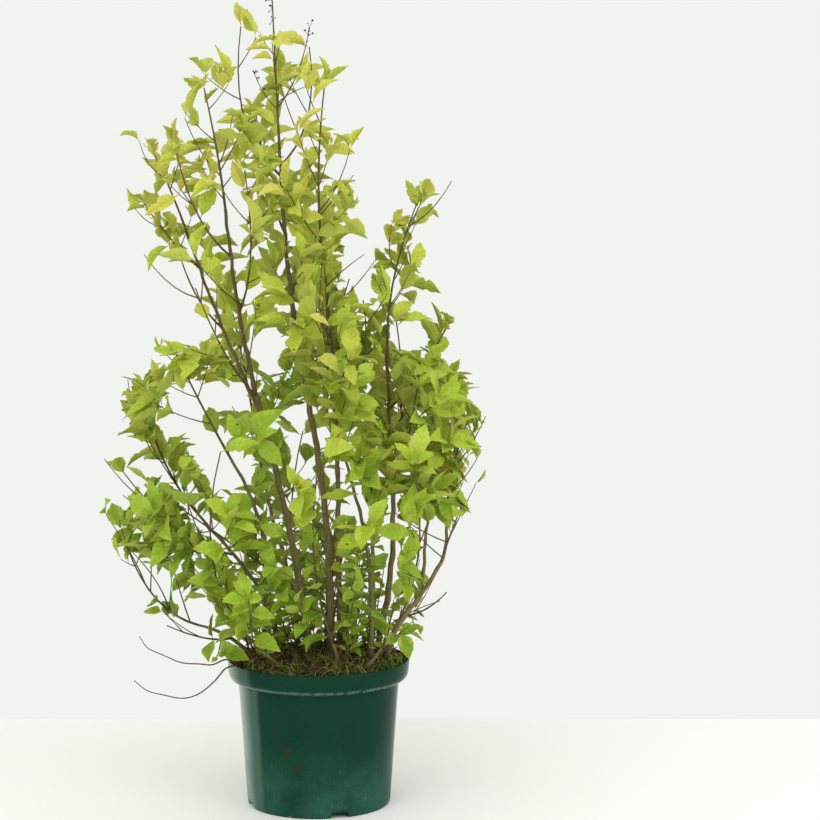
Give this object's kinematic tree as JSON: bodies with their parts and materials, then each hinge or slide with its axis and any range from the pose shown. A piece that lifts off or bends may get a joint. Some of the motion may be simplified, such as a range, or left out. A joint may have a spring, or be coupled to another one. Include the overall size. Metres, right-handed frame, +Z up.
{
  "type": "potted shrub",
  "caption": "Upright leafy shrub with many thin stems rising from a round nursery pot with a stepped rim and slotted foot ring.",
  "frame": {"origin": "centre of the flat disc in the middle of the pot's underside, on the ground", "axes": "+Z up along the pot's axis; -Y is the front, the side that the picture was taken from; +X is to the right in the picture"},
  "size_m": [0.569, 0.5334, 1.2213],
  "materials": {
    "moulded_pot": "satin dark green, scuffed",
    "potting_mix": "moist fibrous mix with moss",
    "bark": "thin brown bark",
    "leaf": "soft matte leaf, yellow-green"
  },
  "bodies": {
    "root": {"bare_twigs": "bark", "bough_left_fork": "bark", "bough_right_fork": "bark", "foliage_back_left_1": "leaf", "foliage_back_low_1": "leaf", "foliage_back_middle_1": "leaf", "foliage_back_right_1": "leaf", "foliage_front_inner_1": "leaf", "foliage_front_inner_2": "leaf", "foliage_front_left_1": "leaf", "foliage_front_low_1": "leaf", "foliage_front_right_1": "leaf", "foliage_leader_1": "leaf", "foliage_leader_2": "leaf", "foliage_leader_3": "leaf", "foliage_leader_4": "leaf", "foliage_leader_5": "leaf", "foliage_leader_6": "leaf", "foliage_left_1": "leaf", "foliage_left_2": "leaf", "foliage_left_3": "leaf", "foliage_left_4": "leaf", "foliage_left_fork_1": "leaf", "foliage_left_fork_2": "leaf", "foliage_left_fork_3": "leaf", "foliage_left_inner_1": "leaf", "foliage_left_inner_2": "leaf", "foliage_left_low_1": "leaf", "foliage_left_low_2": "leaf", "foliage_left_outer_1": "leaf", "foliage_left_outer_2": "leaf", "foliage_middle_1": "leaf", "foliage_middle_2": "leaf", "foliage_middle_3": "leaf", "foliage_middle_4": "leaf", "foliage_right_1": "leaf", "foliage_right_2": "leaf", "foliage_right_3": "leaf", "foliage_right_fork_1": "leaf", "foliage_right_outer_1": "leaf", "foliage_right_outer_2": "leaf", "foliage_right_outer_3": "leaf", "pot": "moulded_pot", "soil": "potting_mix", "stem_back_left": "bark", "stem_back_low": "bark", "stem_back_middle": "bark", "stem_back_right": "bark", "stem_front_inner": "bark", "stem_front_left": "bark", "stem_front_low": "bark", "stem_front_right": "bark", "stem_leader": "bark", "stem_left": "bark", "stem_left_inner": "bark", "stem_left_low": "bark", "stem_left_outer": "bark", "stem_middle": "bark", "stem_right": "bark", "stem_right_outer": "bark"}
  },
  "joints": []
}
